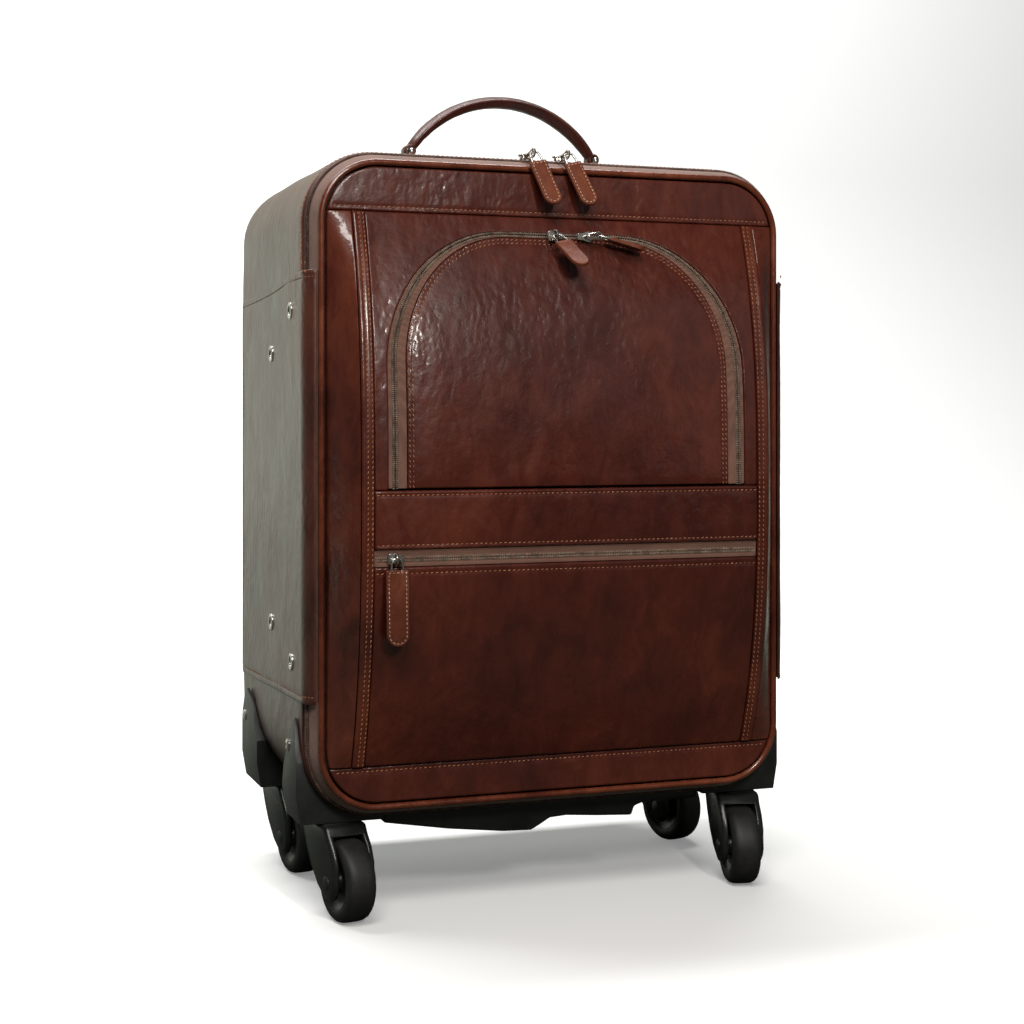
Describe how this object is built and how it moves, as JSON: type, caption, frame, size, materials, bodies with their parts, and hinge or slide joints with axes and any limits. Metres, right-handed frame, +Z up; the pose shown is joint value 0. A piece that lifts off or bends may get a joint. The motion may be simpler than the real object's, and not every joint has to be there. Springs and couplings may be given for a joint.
{
  "type": "rolling laptop case",
  "caption": "Upright rolling laptop case in polished brown leather with a zipped front lid, arched and slit front pockets, a carry handle, a telescopic trolley handle and swivel casters.",
  "frame": {"origin": "floor level under the centre of the overall box", "axes": "+Z up, the lid faces -Y, the back of the case faces +Y, +X to the right seen from the front"},
  "size_m": [0.3556, 0.2755, 0.571],
  "materials": {
    "leather": "polished, wrinkled",
    "pull_leather": "satin",
    "zip_tape": "woven",
    "zip_metal": "polished nickel",
    "black_plastic": "satin",
    "wheel_rubber": "satin",
    "tube_metal": "anodised",
    "lining": "woven lining"
  },
  "bodies": {
    "case": {"body_shell": "leather", "side_wing_left": "leather", "side_wing_right": "leather", "body_zip_tape": "zip_tape", "base_tray": "black_plastic", "hinge_tape": "zip_tape", "handle_anchor_left": "zip_metal", "handle_anchor_right": "zip_metal", "trolley_bezel": "black_plastic", "outer_tube_left": "tube_metal", "outer_tube_right": "tube_metal", "lining_board": "lining", "laptop_sleeve": "lining", "caster_guard_front_left": "black_plastic", "caster_guard_front_right": "black_plastic", "caster_guard_rear_left": "black_plastic", "caster_guard_rear_right": "black_plastic"},
    "lid": {"lid_board": "lining", "lid_piping": "leather", "lid_zip_tape": "zip_tape", "top_band": "leather", "bottom_band": "leather", "side_gusset_left": "leather", "side_gusset_right": "leather", "fold_strip_left": "leather", "fold_strip_right": "leather", "upper_panel": "leather", "mid_band": "leather", "lower_pocket_panel": "leather", "lower_zip_chain": "zip_tape", "flap_zip_outer": "zip_tape"},
    "flap": {"pocket_flap": "leather", "flap_zip_inner": "zip_tape"},
    "main_slider_left": {"main_slider_left": "zip_metal"},
    "main_slider_right": {"main_slider_right": "zip_metal"},
    "arch_slider_left": {"arch_slider_left": "zip_metal"},
    "arch_slider_right": {"arch_slider_right": "zip_metal"},
    "lower_slider": {"lower_slider": "zip_metal"},
    "main_pull_left": {"main_pull_left": "pull_leather"},
    "main_pull_right": {"main_pull_right": "pull_leather"},
    "arch_pull_left": {"arch_pull_left": "pull_leather"},
    "arch_pull_right": {"arch_pull_right": "pull_leather"},
    "lower_pull": {"lower_pull": "pull_leather"},
    "carry_handle": {"carry_handle": "leather", "handle_ring_left": "zip_metal", "handle_ring_right": "zip_metal"},
    "trolley_middle": {"middle_tube_left": "tube_metal", "middle_tube_right": "tube_metal"},
    "trolley_upper": {"upper_tube_left": "tube_metal", "upper_tube_right": "tube_metal", "trolley_grip": "black_plastic"},
    "release_button": {"release_button": "black_plastic"},
    "caster_fork_front_left": {"caster_fork_front_left": "black_plastic"},
    "caster_wheel_front_left": {"caster_wheel_front_left": "wheel_rubber"},
    "caster_fork_front_right": {"caster_fork_front_right": "black_plastic"},
    "caster_wheel_front_right": {"caster_wheel_front_right": "wheel_rubber"},
    "caster_fork_rear_left": {"caster_fork_rear_left": "black_plastic"},
    "caster_wheel_rear_left": {"caster_wheel_rear_left": "wheel_rubber"},
    "caster_fork_rear_right": {"caster_fork_rear_right": "black_plastic"},
    "caster_wheel_rear_right": {"caster_wheel_rear_right": "wheel_rubber"}
  },
  "joints": [
    {"name": "lid_hinge", "type": "hinge", "parent": "case", "child": "lid", "pos_m": [0, -0.0855, 0.0676], "axis": [1, 0, 0], "range_deg": [0, 85]},
    {"name": "pocket_flap_hinge", "type": "hinge", "parent": "lid", "child": "flap", "pos_m": [0, -0.1271, 0.2867], "axis": [1, 0, 0], "range_deg": [0, 100]},
    {"name": "main_slider_left_slide", "type": "slide", "parent": "lid", "child": "main_slider_left", "axis": [-1, 0, 0], "range_m": [0, 0.1]},
    {"name": "main_slider_right_slide", "type": "slide", "parent": "lid", "child": "main_slider_right", "axis": [1, 0, 0], "range_m": [0, 0.1]},
    {"name": "arch_slider_left_slide", "type": "slide", "parent": "flap", "child": "arch_slider_left", "axis": [-1, 0, 0], "range_m": [0, 0.03]},
    {"name": "arch_slider_right_slide", "type": "slide", "parent": "flap", "child": "arch_slider_right", "axis": [1, 0, 0], "range_m": [0, 0.022]},
    {"name": "lower_slider_slide", "type": "slide", "parent": "lid", "child": "lower_slider", "axis": [1, 0, 0], "range_m": [0, 0.24]},
    {"name": "main_pull_left_hinge", "type": "hinge", "parent": "main_slider_left", "child": "main_pull_left", "pos_m": [-0.0185, -0.1004, 0.513], "axis": [-1, 0, 0], "range_deg": [-18, 70]},
    {"name": "main_pull_right_hinge", "type": "hinge", "parent": "main_slider_right", "child": "main_pull_right", "pos_m": [0.0065, -0.1004, 0.513], "axis": [-1, 0, 0], "range_deg": [-18, 70]},
    {"name": "arch_pull_left_hinge", "type": "hinge", "parent": "arch_slider_left", "child": "arch_pull_left", "pos_m": [-0.0065, -0.11331, 0.456], "axis": [-1, 0, 0], "range_deg": [-36, 60]},
    {"name": "arch_pull_right_hinge", "type": "hinge", "parent": "arch_slider_right", "child": "arch_pull_right", "pos_m": [0.0228, -0.11541, 0.456], "axis": [0, 1, 0], "range_deg": [-60, 0]},
    {"name": "lower_pull_hinge", "type": "hinge", "parent": "lower_slider", "child": "lower_pull", "pos_m": [-0.1235, -0.13116, 0.2423], "axis": [-1, 0, 0], "range_deg": [0, 100]},
    {"name": "carry_handle_swing", "type": "hinge", "parent": "case", "child": "carry_handle", "pos_m": [0, 0.0174, 0.5205], "axis": [1, 0, 0], "range_deg": [-60, 60]},
    {"name": "trolley_lower_stage", "type": "slide", "parent": "case", "child": "trolley_middle", "axis": [0, 0, 1], "range_m": [0, 0.24]},
    {"name": "trolley_upper_stage", "type": "slide", "parent": "trolley_middle", "child": "trolley_upper", "axis": [0, 0, 1], "range_m": [0, 0.24]},
    {"name": "release_button_press", "type": "slide", "parent": "trolley_upper", "child": "release_button", "axis": [0, 0, -1], "range_m": [0, 0.003], "stiffness_N_per_m": 400, "springref_m": -0.002},
    {"name": "caster_swivel_front_left", "type": "hinge", "parent": "case", "child": "caster_fork_front_left", "pos_m": [-0.1485, -0.0646, 0.064], "axis": [0, 0, 1], "continuous": true},
    {"name": "wheel_spin_front_left", "type": "hinge", "parent": "caster_fork_front_left", "child": "caster_wheel_front_left", "pos_m": [-0.14468, -0.08627, 0.027], "axis": [0.9848, 0.1736, 0], "continuous": true},
    {"name": "caster_swivel_front_right", "type": "hinge", "parent": "case", "child": "caster_fork_front_right", "pos_m": [0.1485, -0.0646, 0.064], "axis": [0, 0, 1], "continuous": true},
    {"name": "wheel_spin_front_right", "type": "hinge", "parent": "caster_fork_front_right", "child": "caster_wheel_front_right", "pos_m": [0.14393, -0.08612, 0.027], "axis": [0.9781, -0.2079, 0], "continuous": true},
    {"name": "caster_swivel_rear_left", "type": "hinge", "parent": "case", "child": "caster_fork_rear_left", "pos_m": [-0.1485, 0.0714, 0.064], "axis": [0, 0, 1], "continuous": true},
    {"name": "wheel_spin_rear_left", "type": "hinge", "parent": "caster_fork_rear_left", "child": "caster_wheel_rear_left", "pos_m": [-0.14544, 0.04961, 0.027], "axis": [0.9903, 0.1392, 0], "continuous": true},
    {"name": "caster_swivel_rear_right", "type": "hinge", "parent": "case", "child": "caster_fork_rear_right", "pos_m": [0.1485, 0.0714, 0.064], "axis": [0, 0, 1], "continuous": true},
    {"name": "wheel_spin_rear_right", "type": "hinge", "parent": "caster_fork_rear_right", "child": "caster_wheel_rear_right", "pos_m": [0.15382, 0.05005, 0.027], "axis": [0.9703, 0.2419, 0], "continuous": true}
  ]
}
